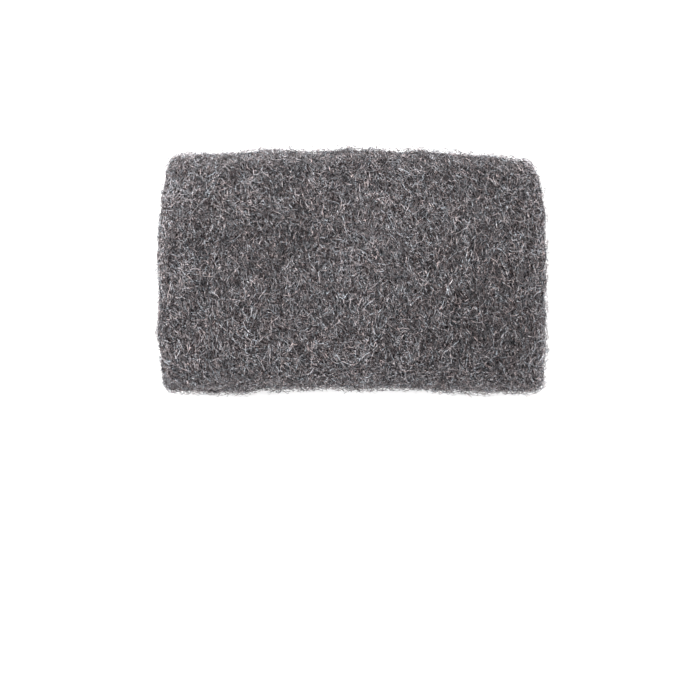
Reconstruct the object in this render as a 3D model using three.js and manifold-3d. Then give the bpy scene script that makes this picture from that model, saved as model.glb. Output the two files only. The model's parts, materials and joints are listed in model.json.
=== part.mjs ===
// A steel wool pad: one ribbon of fine shaved steel, rolled up and pressed flat.
//
// The ribbon is as wide as the pad is long. Its turns run round the X axis, so the
// two long sides of the pad are the folds of the roll, and the two short ends show
// the edges of the turns as a flattened spiral. The pad lies as it comes out of its
// bag, with its underside pressed flat and its top face slightly crowned.
//
// Frame: +X along the ribbon's width, +Y towards the back fold, +Z up. The origin is
// at the middle of the underside. All lengths are in millimetres.

import * as THREE from "three";
import { TessellateModifier } from "three/addons/modifiers/TessellateModifier.js";
import { mergeVertices, toCreasedNormals } from "three/addons/utils/BufferGeometryUtils.js";
import Module from "manifold-3d";

// ---- Driving dimensions ----

const padLength = 101.6; // along X, the width of the ribbon, 4 in
const padDepth = 63.5; // along Y, fold to fold, 2.5 in
const padHeight = 20; // along Z, at the crown

// The flattened roll's section, across the folds.
const foldReach = 10; // how far each fold curves out past the flat underside
const foldMiddle = 8.5; // height of a fold's outermost line
const shoulderHeight = 18.4; // height where a fold meets the crowned top face
const foldSegments = 7; // sides in each quarter of a fold
const crownSegments = 10; // sides across the crowned top face

// The ribbon's turns, as they show at the two ends.
const ribbonTurns = 3; // three turns are six layers through the middle
const seamStart = 0.68; // where the seam starts, from 1 outside to 0 at the innermost fold
const seamTurns = 1.85; // how many turns it winds inwards from there
const seamSegments = 90; // sides along the whole seam
const seamWidth = 0.7; // gap between the edges of two turns
const seamDepth = 2.4; // how deep that gap runs into the wool

// The soft edges and the lie of the pad.
const endRound = 2.1; // rounding of the two ends
const endRoundSegments = 3;
const lengthSteps = 14; // slices along the ribbon's width
const longestEdge = 8; // longer edges are split, so that the pad bends smoothly
const backFall = 2.3; // how far both back corners fall behind the back fold's middle
const backLean = 0.9; // how much more the right one falls than the left one
const frontWave = 0.6; // height of the low wave along the front fold
const frontWavePhase = 0.8; // where its first crest lies, as a part of half the length
const leftBackTaper = 3.2; // how far the left end draws in towards the back
const leftFrontTaper = 1.1; // and towards the front
const rightBackTaper = 2.6; // how far the right end draws in at the back corner
const endSag = 0.07; // part of the height that the two ends lose

const halfLength = padLength / 2;
const halfDepth = padDepth / 2;
const flatHalf = halfDepth - foldReach;

// ---- The section of the flattened roll ----

// Its outline in the plane across the folds: x here is the pad's Y, y is its Z.
function rollOutline() {
  const outline = new THREE.Shape();
  const upper = shoulderHeight - foldMiddle;
  outline.moveTo(-flatHalf, 0);
  outline.lineTo(flatHalf, 0);
  outline.absellipse(flatHalf, foldMiddle, foldReach, foldMiddle, -Math.PI / 2, 0, false, 0);
  outline.absellipse(flatHalf, foldMiddle, foldReach, upper, 0, Math.PI / 2, false, 0);
  outline.quadraticCurveTo(0, 2 * padHeight - shoulderHeight, -flatHalf, shoulderHeight);
  outline.absellipse(-flatHalf, foldMiddle, foldReach, upper, Math.PI / 2, Math.PI, false, 0);
  outline.absellipse(
    -flatHalf, foldMiddle, foldReach, foldMiddle, Math.PI, (3 * Math.PI) / 2, false, 0,
  );
  return outline;
}

// The same outline as points: a flat side is one step, a fold or the crown is several.
function outlinePoints() {
  const points = [];
  for (const curve of rollOutline().curves) {
    let sides = 1;
    if (curve.isEllipseCurve) sides = foldSegments;
    if (curve.isQuadraticBezierCurve) sides = crownSegments;
    for (let side = 0; side < sides; side += 1) {
      points.push(curve.getPoint(side / sides));
    }
  }
  return points;
}

// A point of the turns. One turn starts in the middle of the underside and passes the
// back fold, the top and the front fold, in eighths: one for each half of a flat side
// and two for each fold. out is 1 at the outside of the pad and 0 at the roll's
// innermost fold, which is a flat line at half height.
function turnPoint(turned, out) {
  const eighths = 8 * (turned % 1);
  const side = eighths <= 4 ? 1 : -1;
  const climb = eighths <= 4 ? eighths : 8 - eighths;
  const foldAngle = THREE.MathUtils.clamp(climb - 2, -1, 1) * (Math.PI / 2);
  const flatShare = Math.min(climb, 4 - climb, 1);
  const bulge = foldReach * out * Math.cos(foldAngle);
  const middle = padHeight / 2;
  return new THREE.Vector2(
    side * (flatHalf * flatShare + bulge),
    middle + middle * out * Math.sin(foldAngle),
  );
}

// The middle of the gap between the turns, as evenly spaced points that wind inwards.
function seamLine() {
  const handles = [];
  const handleCount = 96;
  for (let handle = 0; handle <= handleCount; handle += 1) {
    const turned = (handle / handleCount) * seamTurns;
    handles.push(turnPoint(turned, seamStart - turned / ribbonTurns));
  }
  return new THREE.SplineCurve(handles).getSpacedPoints(seamSegments);
}

// The gap itself: a narrow band along that line.
function seamOutline() {
  const line = seamLine();
  const outer = [];
  const inner = [];
  for (let index = 0; index < line.length; index += 1) {
    const before = line[Math.max(index - 1, 0)];
    const after = line[Math.min(index + 1, line.length - 1)];
    const along = after.clone().sub(before).normalize();
    const across = new THREE.Vector2(along.y, -along.x).multiplyScalar(seamWidth / 2);
    outer.push(line[index].clone().add(across));
    inner.push(line[index].clone().sub(across));
  }
  return new THREE.Shape([...outer, ...inner.reverse()]);
}

// ---- Solids ----

// Turns an extrusion so that its outline stands across the pad and it runs along X.
const alongX = new THREE.Matrix4().makeBasis(
  new THREE.Vector3(0, 1, 0),
  new THREE.Vector3(0, 0, 1),
  new THREE.Vector3(1, 0, 0),
);

function rollBody() {
  const straight = padLength - 2 * endRound;
  const body = new THREE.ExtrudeGeometry(new THREE.Shape(outlinePoints()), {
    depth: straight,
    steps: lengthSteps,
    bevelEnabled: true,
    bevelThickness: endRound,
    bevelSize: endRound,
    bevelOffset: -endRound,
    bevelSegments: endRoundSegments,
  });
  body.translate(0, 0, -straight / 2);
  return body.applyMatrix4(alongX);
}

// One end's seam, from inside the wool to just past the end face.
function seamCutter(endSign) {
  const clear = 1;
  const cutter = new THREE.ExtrudeGeometry(seamOutline(), {
    depth: seamDepth + clear,
    bevelEnabled: false,
  });
  const inside = halfLength - seamDepth;
  cutter.translate(0, 0, endSign > 0 ? inside : -inside - seamDepth - clear);
  return cutter.applyMatrix4(alongX);
}

// Draws the straight roll into the pad's own lie: a bowed back fold, a low wave along
// the front fold, ends that draw in towards the back, and a height that falls to the
// ends. The underside keeps its height, so it stays flat.
function easeIntoShape(geometry) {
  const position = geometry.getAttribute("position");
  for (let index = 0; index < position.count; index += 1) {
    const x = position.getX(index);
    const y = position.getY(index);
    const z = position.getZ(index);
    const along = x / halfLength;
    const across = y / halfDepth;
    const back = Math.max(0, across);
    const front = Math.max(0, -across);
    const left = Math.max(0, -along);
    const right = Math.max(0, along);
    const fall = backFall * along ** 2 + backLean * along ** 3;
    const wave = frontWave * Math.cos(1.25 * Math.PI * (along + frontWavePhase));
    const leftIn = leftBackTaper * back ** 2 + leftFrontTaper * front ** 2;
    const rightIn = rightBackTaper * back ** 3;
    position.setXYZ(
      index,
      x + leftIn * left ** 2 - rightIn * right ** 2,
      y - fall * back ** 2 - wave * front ** 2,
      z * (1 - endSag * along ** 4),
    );
  }
  return geometry;
}

// Sets the origin at the middle of the underside.
function centreOnUnderside(geometry) {
  geometry.computeBoundingBox();
  const { min, max } = geometry.boundingBox;
  return geometry.translate(-(min.x + max.x) / 2, -(min.y + max.y) / 2, -min.z);
}

// ---- Joining and cutting ----

const wasm = await Module();
wasm.setup();

function toSolid(geometry) {
  const bare = geometry.clone();
  bare.deleteAttribute("normal");
  bare.deleteAttribute("uv");
  const merged = mergeVertices(bare, 1e-4);
  return new wasm.Manifold(
    new wasm.Mesh({
      numProp: 3,
      vertProperties: new Float32Array(merged.getAttribute("position").array),
      triVerts: new Uint32Array(merged.index.array),
    }),
  );
}

function toGeometry(solid) {
  const mesh = solid.getMesh();
  const geometry = new THREE.BufferGeometry();
  geometry.setAttribute("position", new THREE.BufferAttribute(mesh.vertProperties, 3));
  geometry.setIndex(new THREE.BufferAttribute(mesh.triVerts, 1));
  return geometry.toNonIndexed();
}

// ---- The pad ----

const shavedSteel = new THREE.MeshStandardMaterial({
  color: 0x646163,
  roughness: 0.5,
  metalness: 0.9,
});

let roll = toSolid(rollBody());
for (const endSign of [-1, 1]) {
  roll = roll.subtract(toSolid(seamCutter(endSign)));
}
const splitRounds = 8;
const fineRoll = new TessellateModifier(longestEdge, splitRounds).modify(toGeometry(roll));
const padGeometry = centreOnUnderside(easeIntoShape(fineRoll));

const creaseAngle = Math.PI / 5;
const steelWoolPad = new THREE.Mesh(toCreasedNormals(padGeometry, creaseAngle), shavedSteel);
steelWoolPad.name = "steel_wool_pad";

const pad = new THREE.Group();
pad.add(steelWoolPad);

export default pad;
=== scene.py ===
# %% [markdown]
# # A steel wool pad
# The real pad is one ribbon of fine shaved steel, about 4 in wide, rolled up loosely and
# pressed flat. Its fibres run along the ribbon, so they run across the pad, round the two
# folds of the roll. The short ends are the ribbon's two edges, and there its turns show as
# a flattened spiral. The wool could be one noisy texture on a block, but wool is seen by
# its fibres: they glint, cross each other and leave dark gaps. So the pad is made as a
# felted body that fills the depth, with tens of thousands of modelled fibres lying in its
# surface.

import json
import math

import bpy
import numpy as np
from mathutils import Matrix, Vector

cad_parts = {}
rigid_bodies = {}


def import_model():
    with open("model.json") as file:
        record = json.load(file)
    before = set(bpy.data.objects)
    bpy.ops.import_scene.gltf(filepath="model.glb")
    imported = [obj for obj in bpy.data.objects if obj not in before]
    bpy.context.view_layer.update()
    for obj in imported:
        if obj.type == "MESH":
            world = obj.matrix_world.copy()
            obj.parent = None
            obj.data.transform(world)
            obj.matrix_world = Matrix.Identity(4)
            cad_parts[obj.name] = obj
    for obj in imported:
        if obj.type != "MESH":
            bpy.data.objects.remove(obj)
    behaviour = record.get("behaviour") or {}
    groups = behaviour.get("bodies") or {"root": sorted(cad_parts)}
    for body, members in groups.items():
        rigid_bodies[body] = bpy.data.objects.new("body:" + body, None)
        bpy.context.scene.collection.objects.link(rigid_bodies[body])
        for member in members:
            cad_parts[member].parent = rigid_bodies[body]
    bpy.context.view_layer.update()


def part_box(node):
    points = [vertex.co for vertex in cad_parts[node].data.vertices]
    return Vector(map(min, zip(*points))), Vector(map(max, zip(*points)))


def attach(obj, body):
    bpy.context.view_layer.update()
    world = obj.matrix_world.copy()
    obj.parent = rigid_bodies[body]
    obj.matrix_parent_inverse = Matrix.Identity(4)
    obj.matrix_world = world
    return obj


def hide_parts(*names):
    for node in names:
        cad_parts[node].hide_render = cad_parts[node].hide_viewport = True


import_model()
low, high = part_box("steel_wool_pad")

# %% [markdown]
# ## Sizes
# The maker's numbers here are in millimetres, as on a drawing, and become metres only when
# a mesh is written. The pad's length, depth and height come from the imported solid. The
# others say how the roll is folded and how it lies, and give the same shape as the solid.

# %% The pad's own measures
MM = 0.001
PAD_LENGTH, PAD_DEPTH, PAD_HEIGHT = [(b - a) / MM for a, b in zip(low, high)]
FOLD_REACH = 10.0
FOLD_MIDDLE = 8.5
SHOULDER = 18.4
END_ROUND = 2.1
TURNS = 3
BACK_FALL, BACK_LEAN = 2.3, 0.9
FRONT_WAVE, FRONT_PHASE, FRONT_RATE = 0.6, 0.8, 1.25
LEFT_BACK, LEFT_FRONT, RIGHT_BACK = 3.2, 1.1, 2.6
END_SAG = 0.07

HALF_LENGTH = PAD_LENGTH / 2
HALF_DEPTH = (PAD_DEPTH - FRONT_WAVE) / 2
FLAT_HALF = HALF_DEPTH - FOLD_REACH
MIDDLE = PAD_HEIGHT / 2
print(f"pad {PAD_LENGTH:.1f} x {PAD_DEPTH:.1f} x {PAD_HEIGHT:.1f} mm")

# %% [markdown]
# ## Camera, floor and light
# The pad is looked at from straight above, with a long lens so that its sides hardly show.
# The floor is a plain white sheet that glows a little, as on a light table, so the pad leaves
# no grey shadow along its front. The light is a bright pale room with two soft lamps, one to
# the left and one behind. Steel shows what is around it, so broad lamps give soft glints and
# no hard sparkle, and being near they light the back left a little more.

# %% Camera straight above
VIEW_WIDTH = 183.4
CAMERA_FRONT = 21.2
CAMERA_RIGHT = -0.3
LENS, SENSOR = 100.0, 36.0

scene = bpy.context.scene
camera_data = bpy.data.cameras.new("camera")
camera = bpy.data.objects.new("camera", camera_data)
scene.collection.objects.link(camera)
scene.camera = camera
camera_data.lens = LENS
camera_data.sensor_width = SENSOR
camera_height = PAD_HEIGHT + VIEW_WIDTH * LENS / SENSOR
camera.location = (CAMERA_RIGHT * MM, -CAMERA_FRONT * MM, camera_height * MM)
camera_data.clip_start = 0.01
camera_data.clip_end = 10.0
print(f"camera {camera_height:.0f} mm above the floor")


# %% Colours and materials
def linear(hex_colour):
    """A colour written as sRGB hex, as the linear values that a shader takes."""
    channels = [int(hex_colour[i:i + 2], 16) / 255 for i in (1, 3, 5)]
    curve = [c / 12.92 if c < 0.04045 else ((c + 0.055) / 1.055) ** 2.4 for c in channels]
    return (*curve, 1.0)


def new_material(name):
    """A named material with an empty node tree but for the shader, which comes back too."""
    material = bpy.data.materials.new(name)
    material.use_nodes = True
    tree = material.node_tree
    return material, tree, tree.nodes["Principled BSDF"]


# %% Pale floor
FLOOR_SIZE = 3.0
FLOOR_GLOW = 0.22

floor_material, tree, shader = new_material("glowing_white_sheet")
shader.inputs["Base Color"].default_value = linear("#fcfcfc")
shader.inputs["Roughness"].default_value = 0.9
shader.inputs["Emission Color"].default_value = linear("#ffffff")
shader.inputs["Emission Strength"].default_value = FLOOR_GLOW
bpy.ops.mesh.primitive_plane_add(size=FLOOR_SIZE)
floor = bpy.context.object
floor.name = "floor"
floor.data.materials.append(floor_material)
print(f"floor {FLOOR_SIZE:.0f} m wide")

# %% Soft studio light
ROOM_LIGHT = 1.4
# Each lamp's place and width are in metres, and its power is in watts.
LAMPS = {
    "lamp_left": ((-0.26, 0.10, 0.28), 0.26, 2.15),
    "lamp_back": ((0.04, 0.24, 0.52), 0.26, 1.95),
}

world = bpy.data.worlds.new("pale_room")
scene.world = world
world.use_nodes = True
world.node_tree.nodes["Background"].inputs["Color"].default_value = linear("#fbfbfb")
world.node_tree.nodes["Background"].inputs["Strength"].default_value = ROOM_LIGHT

for name, (place, size, power) in LAMPS.items():
    lamp_data = bpy.data.lights.new(name, "AREA")
    lamp_data.shape = "DISK"
    lamp_data.size = size
    lamp_data.energy = power
    lamp = bpy.data.objects.new(name, lamp_data)
    lamp.location = place
    lamp.rotation_euler = (-lamp.location).to_track_quat("-Z", "Y").to_euler()
    scene.collection.objects.link(lamp)
    print(name, f"{lamp.location.length:.2f} m from the pad")
scene.view_settings.view_transform = "Standard"

# %% [markdown]
# ## The shape of the roll
# Everything on the pad is placed by two numbers on the unrolled ribbon: x along the pad,
# and s, the distance round the roll from the middle of the underside. One function turns
# them into a place in space. The body and every fibre use it, so they always fit.

# %% The roll's section
SECTION_SAMPLES = 1440
QUARTER_SAMPLES = 120
CROWN_SAMPLES = 200
SAME_PLACE = 1e-6


def quarter(side, start, stop, rise):
    """A quarter of a fold, as points from one angle to another."""
    angle = np.linspace(start, stop, QUARTER_SAMPLES)
    y = side * (FLAT_HALF + FOLD_REACH * np.cos(angle))
    return np.stack([y, FOLD_MIDDLE + rise * np.sin(angle)], axis=1)


def roll_section():
    """The outline across the folds, evenly spaced from the middle of the underside."""
    t = np.linspace(0, 1, CROWN_SAMPLES)[:, None]
    control = np.array([0, 2 * PAD_HEIGHT - SHOULDER])
    start, stop = np.array([FLAT_HALF, SHOULDER]), np.array([-FLAT_HALF, SHOULDER])
    crown = (1 - t) ** 2 * start + 2 * t * (1 - t) * control + t ** 2 * stop
    quarter_turn = math.pi / 2
    upper = SHOULDER - FOLD_MIDDLE
    outline = np.concatenate([
        [[0, 0]],
        quarter(1, -quarter_turn, 0, FOLD_MIDDLE),
        quarter(1, 0, quarter_turn, upper),
        crown,
        quarter(-1, quarter_turn, 0, upper),
        quarter(-1, 0, -quarter_turn, FOLD_MIDDLE),
        [[0, 0]],
    ])
    step = np.linalg.norm(np.diff(outline, axis=0), axis=1)
    outline = outline[np.concatenate([[True], step > SAME_PLACE])]
    reached = np.concatenate([[0], np.cumsum(step[step > SAME_PLACE])])
    even = np.linspace(0, reached[-1], SECTION_SAMPLES + 1)
    points = np.stack([np.interp(even, reached, outline[:, i]) for i in (0, 1)], axis=1)
    return points, reached[-1]


SECTION, ROUND = roll_section()
along_section = np.gradient(SECTION, axis=0)
along_section[0] = along_section[-1] = (1, 0)
along_section /= np.linalg.norm(along_section, axis=1)[:, None]
SECTION_OUT = np.stack([along_section[:, 1], -along_section[:, 0]], axis=1)
print(f"once round the roll is {ROUND:.1f} mm")


# %% Soft lumps
WAVE_SPREAD = 0.7, 1.4


def swell(points, wavelength, seed, waves=9):
    """A smooth random height of about -1 to 1, with lumps one wavelength apart."""
    rng = np.random.default_rng(seed)
    directions = rng.normal(size=(waves, 3))
    directions /= np.linalg.norm(directions, axis=1)[:, None]
    rates = 2 * math.pi / wavelength * rng.uniform(*WAVE_SPREAD, waves)
    phases = rng.uniform(0, 2 * math.pi, waves)
    height = np.zeros(len(points))
    for direction, rate, phase in zip(directions, rates, phases):
        height += np.sin(points @ direction * rate + phase)
    return height / math.sqrt(waves)


# %% The lie of the pad
# Each layer of lumps has a wavelength and a height in mm, and a seed.
LUMPS = ((23.0, 0.30, 3), (8.0, 0.22, 4), (3.6, 0.12, 5))
FREE_HEIGHT = 4.0


def ease(points):
    """Draws straight-roll points into the pad's lie: bowed back, waved front, drawn-in ends."""
    x, y, z = points.T
    along = x / HALF_LENGTH
    across = y / HALF_DEPTH
    back, front = np.maximum(across, 0), np.maximum(-across, 0)
    left, right = np.maximum(-along, 0), np.maximum(along, 0)
    fall = BACK_FALL * along ** 2 + BACK_LEAN * along ** 3
    wave = FRONT_WAVE * np.cos(FRONT_RATE * math.pi * (along + FRONT_PHASE))
    left_in = LEFT_BACK * back ** 2 + LEFT_FRONT * front ** 2
    right_in = RIGHT_BACK * back ** 3
    return np.stack([
        x + left_in * left ** 2 - right_in * right ** 2,
        y - fall * back ** 2 - wave * front ** 2 + FRONT_WAVE / 2,
        z * (1 - END_SAG * along ** 4),
    ], axis=1)


def lumpy(points, outward):
    """Swells points in and out, fully from FREE_HEIGHT up and not at all at the underside."""
    lift = np.zeros(len(points))
    for wavelength, height, seed in LUMPS:
        lift += height * swell(points, wavelength, seed)
    free = np.clip(points[:, 2] / FREE_HEIGHT, 0, 1)
    return points + outward * (lift * free)[:, None]


def wrap_point(x, s, lift):
    """Places points of the wrap: x along, s round, lift off the surface, over the rims."""
    sample = (s % ROUND) / ROUND * SECTION_SAMPLES
    index = np.arange(SECTION_SAMPLES + 1)
    y, z = (np.interp(sample, index, SECTION[:, i]) for i in (0, 1))
    out_y, out_z = (np.interp(sample, index, SECTION_OUT[:, i]) for i in (0, 1))
    straight = HALF_LENGTH - END_ROUND
    over = np.maximum(np.abs(x) - straight, 0)
    tip = np.minimum(over / END_ROUND, math.pi / 2)
    beyond = np.maximum(over - END_ROUND * math.pi / 2, 0)
    inset = END_ROUND * (1 - np.cos(tip)) + beyond
    side = np.sign(x)
    points = np.stack([
        side * (np.minimum(np.abs(x), straight) + END_ROUND * np.sin(tip)),
        y - out_y * inset,
        z - out_z * inset,
    ], axis=1)
    outward = np.stack([side * np.sin(tip), out_y * np.cos(tip), out_z * np.cos(tip)], axis=1)
    return ease(lumpy(points, outward) + outward * lift[:, None]), outward


# %% [markdown]
# ## The turns at the ends
# At each short end the ribbon's edge winds inwards. Each turn has a soft rounded edge, so
# the end is a height field over the section: rounded beads with a seam between them, darkened
# with painted shade, and a slot in the middle where the innermost fold closes. The outermost
# end of the ribbon is felted down, so its seam fades in over half a turn. Cutting the seams
# out with a boolean would leave hard edges, and wool has none.

# %% Place of a point on an end
BEAD = 1.3
SEAM_DEPTH = 1.5
SEAM_WIDTH = 0.45
SEAM_START, SEAM_FADE = 0.35, 0.5
LAST_TURN, LAST_FADE = 2.85, 0.1
STAGGER, STAGGER_IN, STAGGER_ROUND = 0.5, 2.3, 5
SLOT_DEPTH, SLOT_WIDTH = 1.2, 0.8


def turn_place(turned, out):
    """Section points for turns round the roll and out, from 0 in the middle to 1 outside."""
    sample = (turned % 1) * SECTION_SAMPLES
    index = np.arange(SECTION_SAMPLES + 1)
    y, z = (np.interp(sample, index, SECTION[:, i]) for i in (0, 1))
    inner_y = np.clip(y, -FLAT_HALF, FLAT_HALF)
    return inner_y + out * (y - inner_y), MIDDLE + out * (z - MIDDLE)


def seam_near(turned, out):
    """The nearest seam: how far off it is, in turns, and how openly it shows there."""
    wound = (1 - out) * TURNS - (turned % 1)
    seam = np.clip(np.round(wound), 0, TURNS)
    seam_turn = seam + (turned % 1)
    begun = np.clip((seam_turn - SEAM_START) / SEAM_FADE, 0, 1)
    unfinished = np.clip((LAST_TURN - seam_turn) / LAST_FADE, 0, 1)
    return np.abs(wound - seam), begun * unfinished


def end_depth(turned, out):
    """How far the end face lies inside the pad's full length."""
    from_rim = np.clip((1 - out) * MIDDLE, 0, END_ROUND)
    rim = END_ROUND - np.sqrt(END_ROUND ** 2 - (END_ROUND - from_rim) ** 2)
    away, shown = seam_near(turned, out)
    bead = BEAD * (1 - np.sqrt(1 - np.clip(1 - 2 * away, 0, 1) ** 4))
    gap = SEAM_DEPTH * np.exp(-(away * MIDDLE / TURNS / SEAM_WIDTH) ** 2)
    stagger = STAGGER * np.sin(STAGGER_IN * (1 - out) * TURNS + STAGGER_ROUND * turned)
    slot = SLOT_DEPTH * np.exp(-(out * MIDDLE / SLOT_WIDTH) ** 2)
    return rim + shown * (bead + gap) + slot + stagger * np.clip(2 * (1 - out), 0, 1)


def painted_shade(turned, out):
    """Where painted shade goes: 1 in the bottom of a seam or of the innermost fold's slot, 0 away
    from them.
    """
    away, shown = seam_near(turned, out)
    seam = shown * np.exp(-(away * MIDDLE / TURNS / SEAM_WIDTH) ** 2)
    return np.maximum(seam, np.exp(-(out * MIDDLE / SLOT_WIDTH) ** 2))


def end_point(side, turned, out, lift):
    """Places points on the end face at one side, lift off its surface."""
    y, z = turn_place(turned, out)
    x = side * (HALF_LENGTH - end_depth(turned, out) + lift)
    points = np.stack([x, y, z], axis=1)
    outward = np.tile([side, 0.0, 0.0], (len(points), 1))
    return ease(lumpy(points, outward)), outward


# %% [markdown]
# ## The felted body
# Below the fibres that can be told apart, the wool is a dense felt, coloured dark with painted
# shade of the deep wool. It could be a cloth or a displaced block, but a skin written ring by
# ring has its faces where they are needed. It is one closed skin: a grid round the roll, and
# at each end rings that run in to the innermost fold. Its own relief is coarse, since the
# fibres over it carry the fine shape.

# %% Rings of the skin
ROUND_STEPS = 168
LENGTH_STEPS = 84
RIM_RINGS = 4
INNER_RINGS = 20
FELT_DEPTH = 0.38
INNERMOST = 0.05


def ring_outs():
    """The rings of an end, from just inside the rim to the innermost fold."""
    rim = 1 - (1 - np.cos(np.linspace(0, math.pi / 2, RIM_RINGS + 1)[1:])) * END_ROUND / MIDDLE
    return np.concatenate([rim, np.linspace(rim[-1], INNERMOST, INNER_RINGS + 1)[1:]])


def body_rings():
    """Rings of points from the left end's middle, over the wrap, to the right end's."""
    turned = np.arange(ROUND_STEPS) / ROUND_STEPS
    outs = ring_outs()
    depth = np.full(ROUND_STEPS, -FELT_DEPTH)
    left = [end_point(-1, turned, np.full(ROUND_STEPS, out), depth)[0] for out in outs[::-1]]
    right = [end_point(1, turned, np.full(ROUND_STEPS, out), depth)[0] for out in outs]
    straight = HALF_LENGTH - END_ROUND
    wrap = []
    for x in np.linspace(-straight, straight, LENGTH_STEPS + 1):
        wrap.append(wrap_point(np.full(ROUND_STEPS, x), turned * ROUND, depth)[0])
    return np.array(left + wrap + right)


rings = body_rings()
rings[:, :, 2] = np.maximum(rings[:, :, 2], 0.0)
body_points = rings.reshape(-1, 3)
print(len(rings), "rings of", ROUND_STEPS, "points")


# %% Faces between the rings
def grid_faces(rings, around):
    """Quads between neighbouring rings, facing outwards."""
    ring, step = np.meshgrid(np.arange(rings - 1), np.arange(around), indexing="ij")
    after = (step + 1) % around
    here, next_ring = ring * around, (ring + 1) * around
    quads = np.stack([here + step, next_ring + step, next_ring + after, here + after], axis=-1)
    return quads.reshape(-1, 4)


def fold_cap(around):
    """Closes the flat slot inside the innermost fold, from its lower lip to its upper one."""
    lower = np.arange(-around // 4, around // 4 + 1)
    upper = (around // 2 - lower) % around
    lower = lower % around
    strip = np.stack([lower[:-1], lower[1:], upper[1:], upper[:-1]], axis=1)
    return [strip[1:-1], strip[:1, 1:], strip[-1:, :3]]


faces = grid_faces(len(rings), ROUND_STEPS)
last = len(body_points) - ROUND_STEPS
left_cap = fold_cap(ROUND_STEPS)
right_cap = [last + face[:, ::-1] for face in left_cap]
print(len(faces), "faces in the grid of the skin")


# %% Writing a mesh
def write_mesh(name, vertices, faces):
    """A mesh object from points in millimetres and a list of face arrays."""
    mesh = bpy.data.meshes.new(name)
    mesh.vertices.add(len(vertices))
    mesh.vertices.foreach_set("co", (vertices * MM).astype(np.float32).ravel())
    corners = np.concatenate([face.ravel() for face in faces])
    sizes = np.concatenate([np.full(len(face), face.shape[1]) for face in faces])
    mesh.loops.add(len(corners))
    mesh.loops.foreach_set("vertex_index", corners.astype(np.int32))
    mesh.polygons.add(len(sizes))
    starts = np.concatenate([[0], np.cumsum(sizes)[:-1]])
    mesh.polygons.foreach_set("loop_start", starts.astype(np.int32))
    mesh.update(calc_edges=True)
    mesh.validate()
    made = bpy.data.objects.new(name, mesh)
    scene.collection.objects.link(made)
    return made


felt_body = write_mesh("felted_body", body_points, [faces, *left_cap, *right_cap])
print("felted body:", len(felt_body.data.polygons), "faces")

# %% [markdown]
# The felt has painted shade: it is darkest in the seams, where no light gets in, and the
# underside, pressed flat with few fibres over it, gets painted shade that darkens towards the
# floor. A texture could say where, but a value at each point needs no map, and the seams are
# already known there.

# %% Painted shade on the felt at each point
UNDERSIDE_SHADE = 0.5
UNDERSIDE_SHADE_HEIGHT = 2.0

turned = np.arange(ROUND_STEPS) / ROUND_STEPS
end_seam_shade = [painted_shade(turned, np.full(ROUND_STEPS, out)) for out in ring_outs()]
felt_shade = np.concatenate([*end_seam_shade[::-1], np.zeros((LENGTH_STEPS + 1) * ROUND_STEPS),
                          *end_seam_shade])
# Painted shade low on the underside, darker towards the floor.
underside_shade = UNDERSIDE_SHADE * np.clip(1 - (body_points[:, 2] - FELT_DEPTH) / UNDERSIDE_SHADE_HEIGHT, 0, 1)
felt_shade = np.maximum(felt_shade, underside_shade)
layer = felt_body.data.attributes.new("painted_shade", "FLOAT", "POINT")
layer.data.foreach_set("value", felt_shade.astype(np.float32))
print(f"{np.mean(felt_shade > UNDERSIDE_SHADE):.0%} of the points are deep in a seam or the slot")

# %% [markdown]
# The felt's material needs to know which way the ribbon runs, so the body gets a map of the
# unrolled ribbon in millimetres. A second map is the same one in a square, for baking.

# %% The ribbon's run as a map on the felt
def run_places():
    """For each ring and step: how far across the ribbon's run, and how far along it."""
    turned = np.arange(ROUND_STEPS + 1) / ROUND_STEPS
    outs = ring_outs()
    straight = HALF_LENGTH - END_ROUND
    past_rim = (1 - outs) * MIDDLE + END_ROUND
    xs = np.concatenate([
        -straight - past_rim[::-1], np.linspace(-straight, straight, LENGTH_STEPS + 1),
        straight + past_rim,
    ])
    across, along = np.meshgrid(xs, turned * ROUND, indexing="ij")
    return np.stack([across, along], axis=-1)


def slot_places(side, face):
    """The run carries on over the flat slot at an end: its upper lip lies past its lower one."""
    step = face % ROUND_STEPS
    upper = np.abs(step - ROUND_STEPS // 2) < ROUND_STEPS // 4
    lower = np.where(upper, (ROUND_STEPS // 2 - step) % ROUND_STEPS, step)
    along = (lower - np.where(lower > ROUND_STEPS // 2, ROUND_STEPS, 0)) / ROUND_STEPS * ROUND
    across = np.abs(places[0, 0, 0]) + np.where(upper, 2 * INNERMOST * MIDDLE, 0)
    return np.stack([side * across, along], axis=-1).reshape(-1, 2)


places = run_places()
corner_places = np.stack([places[:-1, :-1], places[1:, :-1], places[1:, 1:], places[:-1, 1:]],
                         axis=2).reshape(-1, 2)
cap_places = [slot_places(side, face) for side, caps in ((-1, left_cap), (1, right_cap))
              for face in caps]
skin_places = np.concatenate([corner_places, *cap_places])
run_map = felt_body.data.uv_layers.new(name="fibre_run")
run_map.data.foreach_set("uv", skin_places.astype(np.float32).ravel())
print("mapped", len(skin_places), "corners of faces")

# %% The same map shrunk to a square, for baking
SQUARE_EDGE = 0.01

lowest, highest = skin_places.min(axis=0), skin_places.max(axis=0)
square = SQUARE_EDGE + (1 - 2 * SQUARE_EDGE) * (skin_places - lowest) / (highest - lowest)
bake_map = felt_body.data.uv_layers.new(name="OFBake")
bake_map.data.foreach_set("uv", square.astype(np.float32).ravel())
print("unrolled, the skin is", np.round(highest - lowest, 1), "mm")

# %% [markdown]
# ## Fibres
# Steel wool is shaved from wire, so each fibre is a long three-cornered shaving that curls
# and twists. Real fibres of this grade are about 0.04 mm thick, too fine to show one by
# one, so they are drawn as coarse as they need to show. Each is a closed tube of three
# sides along a wandering path. Curves with a bevel could do this too, but writing all the
# tubes at once as one mesh is many times faster and keeps each piece to a known size.

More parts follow.
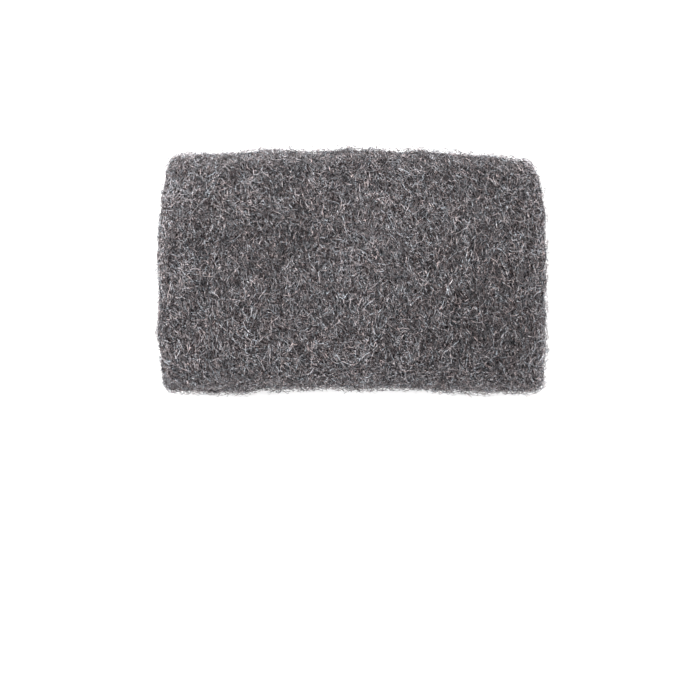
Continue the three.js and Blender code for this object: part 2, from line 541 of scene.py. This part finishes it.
# %% A fibre's wandering path
LOOSE_SHARE, LOOSE_TURN = 0.12, 1.6
WIDE_WAVE, WIDE_SWAY = 6.0, 0.3
TIGHT_WAVE, TIGHT_SWAY = 2.6, 0.28
RISE_WAVE, DIP_WAVE, DIP_SHARE = 5.0, 2.4, 0.4
SWAY_SPREAD = 0.7, 1.5


def ripple(rng, lengths, points, wavelength, height):
    """A smooth random sway along each fibre, with waves of about one wavelength."""
    count = len(lengths)
    t = np.linspace(0, 1, points)[None, :]
    cycles = lengths / (wavelength * rng.uniform(*SWAY_SPREAD, (count, 1)))
    phase = rng.uniform(0, 1, (count, 1))
    size = height * rng.normal(0, 1, (count, 1))
    return size * np.sin(2 * math.pi * (cycles * t + phase))


def headings(rng, lengths, points, spread, curl, sway=1.0):
    """Which way each fibre points along its length, from the ribbon's own run."""
    count = len(lengths)
    t = np.linspace(0, 1, points)[None, :]
    loose = rng.uniform(0, 1, (count, 1)) < LOOSE_SHARE
    any_way = rng.uniform(-LOOSE_TURN, LOOSE_TURN, (count, 1))
    own = np.where(loose, any_way, rng.normal(0, spread, (count, 1)))
    start = own + math.pi * rng.integers(0, 2, (count, 1))
    bend = rng.normal(0, curl, (count, 1)) * lengths * t
    wide = ripple(rng, lengths, points, WIDE_WAVE, sway * WIDE_SWAY)
    tight = ripple(rng, lengths, points, TIGHT_WAVE, sway * TIGHT_SWAY)
    return start + bend + wide + tight


def walk(angles, lengths):
    """Steps along the headings: how far each point has gone across and along the run."""
    points = angles.shape[1]
    step = lengths / (points - 1)
    across = np.cumsum(np.sin(angles) * step, axis=1)
    along = np.cumsum(np.cos(angles) * step, axis=1)
    across -= across[:, points // 2][:, None]
    along -= along[:, points // 2][:, None]
    return across, along


def weave(rng, lengths, points, base, height):
    """How far each fibre rises and dips through the surface of the wool."""
    middle = rng.uniform(base[0], base[1], (len(lengths), 1))
    return (middle + ripple(rng, lengths, points, RISE_WAVE, height)
            + ripple(rng, lengths, points, DIP_WAVE, DIP_SHARE * height))


# %% [markdown]
# Wool isn't even. Neighbouring fibres lie together in locks, the ribbon is a little fuller
# along some stretches, which show as faint streaks, and it has swirls and lighter patches.
# Each of these is a sum of a few smooth waves over the unrolled ribbon, so it costs nothing
# and has no edges. The locks lift the fibres, the swirls turn them, and the streaks and
# patches change how bright they are.

# %% Locks and streaks
LOCKS = ((2.8, 26.0, 31), (1.6, 16.0, 32))
STREAKS = ((8.5, 70.0, 51), (4.5, 40.0, 52))
LOCK_WAVES = 5
LOCK_SPREAD = 0.75, 1.3
LOCK_HEIGHT = 0.08
STREAK_SHADE = 0.08


def lock_height(across, along, locks):
    """About 1 on top of a lock or streak and -1 between two. locks: (spacing, reach, seed)."""
    height = np.zeros(across.shape)
    for spacing, reach, seed in locks:
        rng = np.random.default_rng(seed)
        for _ in range(LOCK_WAVES):
            rate = 2 * math.pi / spacing * rng.uniform(*LOCK_SPREAD)
            drift = 2 * math.pi / reach * rng.normal()
            height += np.sin(rate * across + drift * along + rng.uniform(0, 2 * math.pi))
    return height / math.sqrt(LOCK_WAVES * len(locks) / 2)


# %% Swirls and patches
SWIRLS = ((7.0, 0.42, 41), (19.0, 0.3, 42))
PATCHES = ((11.0, 0.10, 43), (60.0, 0.16, 507))


def field(across, along, layers):
    """Sums smooth random layers over the unrolled ribbon, each of (wavelength, size, seed)."""
    flat = np.stack([across.ravel(), along.ravel(), np.zeros(across.size)], axis=1)
    total = np.zeros(across.size)
    for wavelength, size, seed in layers:
        total += size * swell(flat, wavelength, seed)
    return total.reshape(across.shape)


# %% [markdown]
# A fibre's tone has painted shade and painted light in it. It is darker the deeper it lies,
# since little light gets down into the wool, each of its three sides gets a random tone as if
# turned differently to the light, and a few sides get a painted flash. These are worked out
# here, one tone for each side of each stretch, and the light of the scene then adds its own
# share.

# %% How bright each stretch of fibre is
DEEP, PROUD = -0.6, 0.5
DEEPEST_SHARE, DEPTH_SHADE_POWER = 0.03, 1.9
DULLEST, FIBRE_TONE, SIDE_TONE = 0.105, 0.28, 0.4
MOSTLY_DULL = 1.0, 2.6
PAINTED_FLASH, PAINTED_FLASH_RARITY = 0.33, 6


def stretch_tones(rng, lift, brightness):
    """A tone for each side of each stretch: painted shade darkens deep ones, and painted flashes
    light some.
    """
    count, points = lift.shape
    own = rng.beta(*MOSTLY_DULL, (count, 1, 1))
    middle = (lift[:, 1:] + lift[:, :-1])[:, :, None] / 2
    # Painted shade: the deeper a stretch lies, the darker it is.
    depth = np.clip((middle - DEEP) / (PROUD - DEEP), 0, 1)
    # A few sides get a painted flash of light.
    painted_flash = rng.uniform(0, 1, (count, points - 1, 3)) ** PAINTED_FLASH_RARITY
    side = rng.uniform(0, 1, painted_flash.shape) ** 2
    tones = brightness * (DULLEST + FIBRE_TONE * own + SIDE_TONE * side)
    tones = tones * (DEEPEST_SHARE + depth ** DEPTH_SHADE_POWER) + PAINTED_FLASH * painted_flash * depth
    return np.clip(tones, 0, 1)


# %% [markdown]
# The tones have to reach the material, and a flat tone on each side would look like a strip.
# So each side is laid out on one shade map: across it runs the distance along the fibre, and
# up it the side's tone. The material reads the tone from the height, and paints fine glints
# along the fibre from a noise over the same map. The map is MAP_RUN mm across, and a side is
# TONE_ROW of its height, so that its tone stays even. A fibre that twists less takes up less
# of the map, and so has longer painted glints.

# %% The shade map
MAP_RUN = 60.0
TONE_EDGE = 0.02
TONE_ROW = 0.003


def lay_out_shades(made, run, tones):
    """The shade map: how far along the fibre across it, and each side's tone up it."""
    row = TONE_EDGE + (1 - 2 * TONE_EDGE) * tones
    before = np.broadcast_to(run[:, :-1, None], row.shape)
    after = np.broadcast_to(run[:, 1:, None], row.shape)
    sides = np.stack([np.stack([before, before, after, after], axis=-1),
                      row[..., None] + TONE_ROW * np.array([0, 1, 1, 0])], axis=-1)
    places = [sides.reshape(-1, 2)]
    for end in (0, -1):
        across = run[:, end, None] + TONE_ROW * np.array([0, 1, 1])
        up = row[:, end, 0, None] + TONE_ROW * np.array([0, 0, 1])
        places.append(np.stack([across, up], axis=-1).reshape(-1, 2))
    layer = made.data.uv_layers.new(name="OFBake")
    layer.data.foreach_set("uv", np.concatenate(places).astype(np.float32).ravel())


# %% From paths to tubes
RADIUS_SHARE = 0.58
TIP_SHARE, TIP_PLACE = 0.45, 0.02
ANY_TWIST, TWIST = 6.3, 2.0
TINY = 1e-9


def fibre_tubes(name, paths, outward, widths, tones, rng, twisting=1.0):
    """All the fibres of one piece as three-sided tubes, each side with its own tone."""
    count, points, _ = paths.shape
    along = np.gradient(paths, axis=1)
    along /= np.linalg.norm(along, axis=2, keepdims=True) + TINY
    flat = np.cross(along, outward)
    flat /= np.linalg.norm(flat, axis=2, keepdims=True) + TINY
    upright = np.cross(flat, along)
    t = np.linspace(0, 1, points)[None, :]
    twist = rng.uniform(0, ANY_TWIST, (count, 1)) + rng.normal(0, TWIST, (count, 1)) * t
    arch = np.sqrt(np.sin(math.pi * np.clip(t, TIP_PLACE, 1 - TIP_PLACE)))
    radius = widths[:, None] * RADIUS_SHARE * (TIP_SHARE + (1 - TIP_SHARE) * arch)
    corners = []
    for corner in range(3):
        angle = twist + corner * 2 * math.pi / 3
        sideways = (np.cos(angle) * radius)[:, :, None] * flat
        corners.append(paths + sideways + (np.sin(angle) * radius)[:, :, None] * upright)
    vertices = np.stack(corners, axis=2).reshape(-1, 3)
    vertices[:, 2] = np.maximum(vertices[:, 2], 0.0)

    strand = np.arange(count)[:, None, None] * points * 3
    ring = strand + np.arange(points - 1)[None, :, None] * 3
    corner = np.arange(3)[None, None, :]
    after = (corner + 1) % 3
    quads = np.stack([ring + corner, ring + after, ring + after + 3, ring + corner + 3], axis=-1)
    first = strand[:, :, 0] + np.array([[2, 1, 0]])
    final = strand[:, :, 0] + (points - 1) * 3 + np.array([[0, 1, 2]])
    made = write_mesh(name, vertices, [quads.reshape(-1, 4), first, final])

    step = np.linalg.norm(np.diff(paths, axis=1), axis=2)
    reached = np.concatenate([np.zeros((count, 1)), np.cumsum(step, axis=1)], axis=1) * twisting
    start = rng.uniform(0, MAP_RUN - reached.max(), (count, 1))
    lay_out_shades(made, (start + reached) / MAP_RUN, tones)
    print(name, count, "fibres,", count * ((points - 1) * 6 + 2), "triangles")
    return made


# %% [markdown]
# ## Fibres of the wrap
# They lie along the ribbon's run, tightly so near its two edges and more tangled in the
# middle, with a slight lean from how the ribbon was wound. Over the front fold they are
# combed straighter and lean more. The rims and the front get painted light, so they are a
# little brighter, and the right rim more so. One function lays them all, and each piece says
# where, how long, how wild and how bright its fibres are.

# %% What changes over the wrap
FRONT_START, FRONT_FADE = 12, 14
# Painted light at the front fold and at the left and right rims.
PAINTED_FRONT_LIGHT = 0.2
RIM_REACH = 3.2
PAINTED_RIM_LIGHT = 0.25, 0.9
LOCKS_BACK = -0.4


def frontness(s):
    """0 over the back and middle of the pad's top, 1 at its front fold."""
    return np.clip((s - ROUND / 2 - FRONT_START) / FRONT_FADE, 0, 1)


def lock_share(s):
    """How clearly the locks show: least behind the top's middle and most at its front."""
    return 0.5 + 0.5 * np.clip((s - ROUND / 2) / FLAT_HALF, LOCKS_BACK, 1)


def tone_and_painted_light(x, s):
    """How bright the fibres are by where they lie: patches, streaks, and painted light at the
    rims and the front.
    """
    shine = 1 + field(x, s, PATCHES) + STREAK_SHADE * lock_height(x, s, STREAKS)
    rim = np.clip((np.abs(x) - HALF_LENGTH + RIM_REACH) / RIM_REACH, 0, 1)
    return shine + (np.where(x < 0, *PAINTED_RIM_LIGHT) * rim + PAINTED_FRONT_LIGHT * frontness(s))


# %% Laying fibres on the wrap
FIBRE_WIDTH = 0.14
LEAN, FRONT_LEAN = 0.25, 0.3
FRONT_COMBED = 0.4
OVERHANG, FARTHEST = 0.5, 1.2
THINNEST, THICKEST = 0.7, 1.3


def wrap_fibres(name, seed, count, s_range, lengths=(2.2, 5.2), points=4, base=(-0.5, 0.3),
                height=0.28, curl=0.2, spreads=(0.25, 0.34), width=FIBRE_WIDTH,
                brightness=1.0, sway=1.0, twisting=1.0, feathered=False):
    """Fibres of the wrap between two distances round the roll, thinning out if feathered."""
    rng = np.random.default_rng(seed)
    x = rng.uniform(-HALF_LENGTH - OVERHANG, HALF_LENGTH + OVERHANG, count)
    if feathered:
        s = rng.uniform(*s_range, (2, count)).mean(axis=0)
    else:
        s = rng.uniform(*s_range, count)
    length = rng.uniform(*lengths, (count, 1))
    edge = np.clip(np.abs(x) / HALF_LENGTH, 0, 1) ** 3
    spread = spreads[1] + (spreads[0] - spreads[1]) * edge
    spread = (spread * (1 - FRONT_COMBED * frontness(s)))[:, None]
    angles = headings(rng, length, points, spread, curl, sway)
    angles += (LEAN + FRONT_LEAN * frontness(s) + field(x, s, SWIRLS))[:, None]
    lift = weave(rng, length, points, base, height)
    across, along = walk(angles, length)
    xs, ss = x[:, None] + across, s[:, None] + along
    limit = HALF_LENGTH + FARTHEST
    xs = np.where(np.abs(xs) > limit, np.sign(xs) * (2 * limit - np.abs(xs)), xs)
    lift += LOCK_HEIGHT * lock_share(ss) * lock_height(xs, ss, LOCKS)
    placed, outward = wrap_point(xs.ravel(), ss.ravel(), lift.ravel())
    shape = (count, points, 3)
    widths = width * rng.uniform(THINNEST, THICKEST, count)
    tones = stretch_tones(rng, lift, brightness * tone_and_painted_light(x, s)[:, None, None])
    return fibre_tubes(name, placed.reshape(shape), outward.reshape(shape), widths, tones, rng,
                       twisting)


# %% Fibres on the top, the folds and the underside
BACK_FOLD = FLAT_HALF + 1.5
BACK_OUT = SECTION[:, 0].argmax() / SECTION_SAMPLES * ROUND
TOP = ROUND / 2
FRONT_FOLD = ROUND - BACK_FOLD
TOP_HALF = FLAT_HALF + 5.5
UNDER_REACH = 6

fibre_pieces = [
    wrap_fibres("top_fibres_back", 11, 7400, (TOP - TOP_HALF, TOP)),
    wrap_fibres("top_fibres_front", 12, 7400, (TOP, TOP + TOP_HALF), sway=0.8),
    wrap_fibres("top_short_fibres", 16, 8700, (TOP - TOP_HALF - 2, TOP + TOP_HALF + 5),
                lengths=(1.0, 2.4), points=3, base=(-0.2, 0.35), height=0.15, curl=0.3),
    wrap_fibres("top_long_fibres", 20, 2500, (TOP - TOP_HALF, TOP + TOP_HALF),
                lengths=(4.0, 9.0), points=7, base=(0.05, 0.5), height=0.2, curl=0.15,
                spreads=(0.4, 0.7), width=0.08, brightness=1.35, sway=0.45, twisting=0.2),
    # The folds' fibres are brighter: painted light that lifts the shade over the folds.
    wrap_fibres("fold_fibres_back", 13, 4200, (BACK_FOLD - UNDER_REACH, TOP - TOP_HALF),
                height=0.34, brightness=1.6),
    wrap_fibres("fold_fibres_front", 14, 4200, (TOP + TOP_HALF, FRONT_FOLD + UNDER_REACH),
                height=0.34, brightness=1.4),
    # The underside's fibres are brighter to offset the painted depth shade of their low lift.
    wrap_fibres("underside_fibres", 15, 850, (-FLAT_HALF - 2, FLAT_HALF + 2), points=3,
                base=(-0.3, -0.1), height=0.08, brightness=4.0),
    wrap_fibres("stray_fibres", 17, 500, (BACK_FOLD, FRONT_FOLD), lengths=(3.0, 6.0),
                points=6, base=(0.1, 0.6), height=0.4, curl=0.35, spreads=(1.2, 1.5), width=0.1,
                twisting=0.3),
]

# %% Fuzz that stands off the two folds
FUZZ_REACH = 12
# Each has a seed, its middle round the roll, how far it stands off in mm, and a brightness:
# painted light on the fringe, more at the back.
FUZZ = {
    "fuzz_back": (18, BACK_OUT, 1.6, 1.4),
    "fuzz_front": (19, ROUND - BACK_OUT, 1.2, 0.85),
}

for name, (seed, middle, reach, brightness) in FUZZ.items():
    fibre_pieces.append(wrap_fibres(
        name, seed, 2600, (middle - FUZZ_REACH, middle + FUZZ_REACH), lengths=(1.0, 3.0),
        base=(0.0, reach), height=0.35, curl=0.8, spreads=(1.3, 1.5), width=0.1,
        brightness=brightness, feathered=True))

# %% [markdown]
# ## Fibres of the ends
# Here the ribbon's edge faces out, so the fibres follow the spiral of its turns. They are
# spread evenly over the end's area, and have painted shade in the seams, where little light
# gets in.

# %% Fibres that follow the turns at the ends
# Painted shade in the seams of the ends.
SEAM_SHADE = 0.6
SMALLEST_TURN = 0.15
# Each end has a seed, its side, and how bright its fuzz is: painted light on the fringe, more at
# the right end.
ENDS = {"left": (21, -1, 1.5), "right": (22, 1, 2.2)}


def end_places(rng, count):
    """Places over an end, evenly over its area: how far turned round the roll, and out."""
    turned, out, chance = rng.uniform(0, 1, (3, 3 * count))
    y = np.interp(turned * SECTION_SAMPLES, np.arange(SECTION_SAMPLES + 1), SECTION[:, 0])
    kept = (np.abs(y) < FLAT_HALF) | (chance < out)
    return turned[kept][:count], out[kept][:count]


def end_fibres(name, seed, side, count, points=4, lengths=(2.4, 5.0), base=(-0.5, 0.3),
               height=0.3, spread=0.35, curl=0.15, width=FIBRE_WIDTH, brightness=1.0):
    """Fibres along the ribbon's edge at one end, over its beads and into its seams."""
    rng = np.random.default_rng(seed)
    place, out = end_places(rng, count)
    length = rng.uniform(*lengths, (count, 1))
    angles = headings(rng, length, points, spread, curl)
    across, along = walk(angles, length)
    once_round = 4 * FLAT_HALF + 2 * math.pi * MIDDLE * np.maximum(out, SMALLEST_TURN)
    turned = place[:, None] + along / once_round[:, None]
    outs = np.clip(out[:, None] + across / MIDDLE, 0.0, 1.0)
    lift = weave(rng, length, points, base, height)
    placed, outward = end_point(side, turned.ravel(), outs.ravel(), lift.ravel())
    shape = (count, points, 3)
    widths = width * rng.uniform(THINNEST, THICKEST, count)
    # Painted shade: darker in the seams and the slot.
    shade = brightness * (1 - SEAM_SHADE * painted_shade(turned, outs))
    tones = stretch_tones(rng, lift, (shade[:, 1:] + shade[:, :-1])[:, :, None] / 2)
    return fibre_tubes(name, placed.reshape(shape), outward.reshape(shape), widths, tones, rng)


for end, (seed, side, brightness) in ENDS.items():
    fibre_pieces.append(end_fibres("end_fibres_" + end, seed, side, 2600))
    fibre_pieces.append(end_fibres(
        "end_fuzz_" + end, seed + 10, side, 900, lengths=(1.0, 3.0), base=(0.1, 1.7), height=0.35,
        spread=1.2, curl=0.7, width=0.1, brightness=brightness))

# %% [markdown]
# ## Finishes
# The wool is bare mild steel, shaved from wire by a toothed knife. A fibre is too narrow to
# show a brushed face, but the knife leaves it satin, so its glints are soft, and it twists,
# so they are short: these short glints are painted into its colour by a noise. Some fibres
# look a little bluer and some a little browner, from the cool light around them and from a
# first trace of oxide. An image could hold all this, but the tones are already on the shade
# map, and two noises along it are sharper at any size.

# %% Adding a node
def node(tree, kind, settings=None, **links):
    """Adds a node. settings are its options and fixed inputs, links are what feeds it."""
    made = tree.nodes.new(kind)
    for name, value in (settings or {}).items():
        if hasattr(made, name):
            setattr(made, name, value)
        else:
            made.inputs[name].default_value = value
    for name, source in links.items():
        tree.links.new(source, made.inputs[name.replace("_", " ")])
    return made


# %% Shaved steel fibre
# A real glint is shorter than 0.1 mm: this painted glint is drawn as coarse as it needs to show.
# Each noise is given as its length along a fibre in mm, its rows, and its range of values.
PAINTED_GLINT = 0.28, 37.0, (-0.6, 2.4)
TINT = 8.0, 5.0, (0.0, 1.0)
NOISE_LOW, NOISE_HIGH = 0.33, 0.67
COOL_STEEL = "#091317", "#dae2ea"
WARM_STEEL = "#231211", "#eddcda"

fibre_steel, tree, shader = new_material("shaved_steel_fibre")
place = node(tree, "ShaderNodeUVMap", {"uv_map": "OFBake"})
split = node(tree, "ShaderNodeSeparateXYZ", Vector=place.outputs["UV"])
tone = node(tree, "ShaderNodeMapRange", {"From Min": TONE_EDGE, "From Max": 1 - TONE_EDGE},
            Value=split.outputs["Y"])

levels = []
for length, rows, (least, most) in (PAINTED_GLINT, TINT):
    spread = node(tree, "ShaderNodeMapping", Vector=place.outputs["UV"])
    spread.inputs["Scale"].default_value = (MAP_RUN / length, rows, 1.0)
    noise = node(tree, "ShaderNodeTexNoise", {"Scale": 1.0, "Detail": 0.0},
                 Vector=spread.outputs["Vector"])
    level = node(tree, "ShaderNodeMapRange", {"From Min": NOISE_LOW, "From Max": NOISE_HIGH,
                                              "To Min": least, "To Max": most},
                 Value=noise.outputs["Fac"])
    levels.append(level.outputs["Result"])
painted_glint, tint = levels

# Painted glints: the tone is multiplied by the glint noise.
shade_at = node(tree, "ShaderNodeMath", {"operation": "MULTIPLY"})
tree.links.new(tone.outputs["Result"], shade_at.inputs[0])
tree.links.new(painted_glint, shade_at.inputs[1])
shades = []
for dark, bright in (COOL_STEEL, WARM_STEEL):
    shade = node(tree, "ShaderNodeValToRGB", Fac=shade_at.outputs[0])
    shade.color_ramp.elements[0].color = linear(dark)
    shade.color_ramp.elements[1].color = linear(bright)
    shades.append(shade)
steel_colour = node(tree, "ShaderNodeMixRGB", Fac=tint,
                    Color1=shades[0].outputs["Color"], Color2=shades[1].outputs["Color"])
tree.links.new(steel_colour.outputs["Color"], shader.inputs["Base Color"])
shader.inputs["Metallic"].default_value = 1.0
shader.inputs["Roughness"].default_value = 0.55
print(fibre_steel.name, "has", len(tree.nodes), "nodes")

# %% [markdown]
# The felt is the same steel seen deep between fibres, so it is coloured darker, as painted
# shade, and its own fibres show only as thin crossing lines. A line is where a noise passes
# through its middle value, which gives long wandering lines that a wave or a grid would not.
# Three layers of them lie over each other, stretched along the ribbon's run, and they stand
# up a little as a bump.

# %% Steel felt
# Each layer has a spacing in mm, a thickness as a share of the noise, and a height. Real
# fibres lie about 0.1 mm apart, so these are drawn as coarse as they need to show.
LINE_LAYERS = ((0.42, 0.07, 1.0), (0.34, 0.07, 0.8), (0.6, 0.07, 0.6))
NOISE_PER_LINE = 2.2
RUN_STRETCH = 0.6
LAYER_SHIFT = 17.0, 31.0, 5.0
LAYER_TURN = 0.25
LINE_RELIEF = 0.3

steel_felt, tree, shader = new_material("steel_felt")
place = node(tree, "ShaderNodeUVMap", {"uv_map": "fibre_run"})
lines = None
for index, (spacing, thickness, height) in enumerate(LINE_LAYERS):
    shifted = node(tree, "ShaderNodeMapping", Vector=place.outputs["UV"])
    shifted.inputs["Location"].default_value = (
        LAYER_SHIFT[0] * index, LAYER_SHIFT[1] * index, LAYER_SHIFT[2])
    shifted.inputs["Rotation"].default_value = (0.0, 0.0, LAYER_TURN * (index - 1))
    shifted.inputs["Scale"].default_value = (1.0, RUN_STRETCH, 1.0)
    scale = 1 / (NOISE_PER_LINE * spacing)
    noise = node(tree, "ShaderNodeTexNoise", {"Scale": scale, "Detail": 1.0},
                 Vector=shifted.outputs["Vector"])
    off = node(tree, "ShaderNodeMath", {"operation": "SUBTRACT"})
    tree.links.new(noise.outputs["Fac"], off.inputs[0])
    off.inputs[1].default_value = 0.5
    size = node(tree, "ShaderNodeMath", {"operation": "ABSOLUTE"})
    tree.links.new(off.outputs[0], size.inputs[0])
    line = node(tree, "ShaderNodeMapRange", {"From Min": 0.0, "From Max": thickness,
                                             "To Min": height, "To Max": 0.0},
                Value=size.outputs[0])
    if lines is None:
        lines = line.outputs["Result"]
    else:
        both = node(tree, "ShaderNodeMath", {"operation": "MAXIMUM"})
        tree.links.new(lines, both.inputs[0])
        tree.links.new(line.outputs["Result"], both.inputs[1])
        lines = both.outputs[0]
# The ramp is dark between the lines: painted shade of the deep wool.
ramp = node(tree, "ShaderNodeValToRGB", Fac=lines)
ramp.color_ramp.elements[0].color = linear("#161415")
ramp.color_ramp.elements[1].color = linear("#918c8e")
# Painted shade: the felt's colour is mixed towards near black in the seams, the slot and low on
# the underside.
painted_shade_node = node(tree, "ShaderNodeAttribute", {"attribute_name": "painted_shade"})
felt_colour = node(tree, "ShaderNodeMixRGB", Fac=painted_shade_node.outputs["Fac"],
                   Color1=ramp.outputs["Color"])
felt_colour.inputs["Color2"].default_value = linear("#121011")
tree.links.new(felt_colour.outputs["Color"], shader.inputs["Base Color"])
bump = node(tree, "ShaderNodeBump", {"Strength": 0.9, "Distance": LINE_RELIEF * MM}, Height=lines)
tree.links.new(bump.outputs["Normal"], shader.inputs["Normal"])
shader.inputs["Metallic"].default_value = 0.7
shader.inputs["Roughness"].default_value = 0.5
print(steel_felt.name, "has", len(tree.nodes), "nodes")

# %% [markdown]
# ## Putting it on the frame
# Every piece rides on the one body: the felted body wears the felt, and the fibres the
# shaved steel. The felted body stands for the imported solid, which is hidden.

# %% Ride and replace
felt_body.data.materials.append(steel_felt)
for piece in fibre_pieces:
    piece.data.materials.append(fibre_steel)
for piece in [felt_body, *fibre_pieces]:
    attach(piece, "root")
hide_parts("steel_wool_pad")

# %% Size in triangles
total = sum(len(piece.data.loops) - 2 * len(piece.data.polygons) for piece in
            [felt_body, *fibre_pieces])
print("triangles in all:", total)
